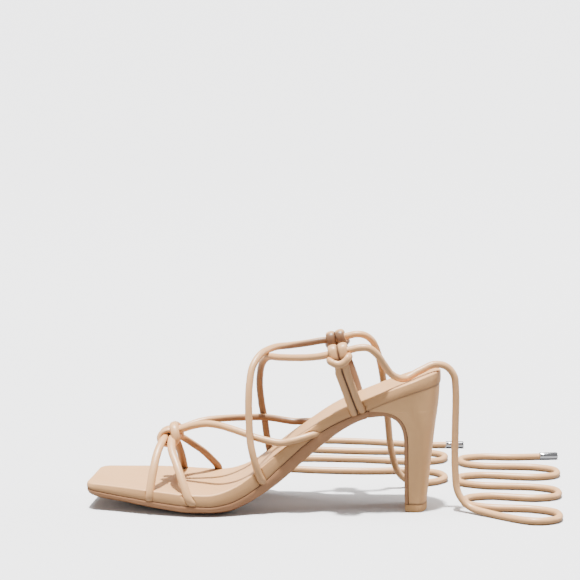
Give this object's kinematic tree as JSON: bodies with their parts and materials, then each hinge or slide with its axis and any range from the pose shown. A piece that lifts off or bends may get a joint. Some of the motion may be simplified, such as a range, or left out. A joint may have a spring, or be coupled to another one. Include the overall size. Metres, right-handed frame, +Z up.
{
  "type": "strappy heeled sandal",
  "caption": "Nude lace-up sandal with a square open toe, knotted cord straps, hitched side tabs, a slim block heel and long loose ties with metal tips.",
  "frame": {"origin": "on the floor under the middle of the shoe's box, ties left out", "axes": "+X from toe to heel, -Y to the inner side of the foot, +Z up"},
  "size_m": [0.3187, 0.2368, 0.1142],
  "materials": {
    "outsole": "satin brown sole leather",
    "footbed": "smooth nude leather",
    "heel": "smooth tan leather cover",
    "heel_tip": "matt tan rubber",
    "strap": "smooth nude leather tube",
    "metal": "polished silver"
  },
  "bodies": {
    "root": {"outsole": "outsole", "footbed": "footbed", "heel": "heel", "heel_tip": "heel_tip", "upper": "strap", "tab_medial": "strap", "tab_lateral": "strap", "tie_medial": "strap", "tie_lateral": "strap", "tie_medial_tip": "metal", "tie_lateral_tip": "metal"}
  },
  "joints": []
}
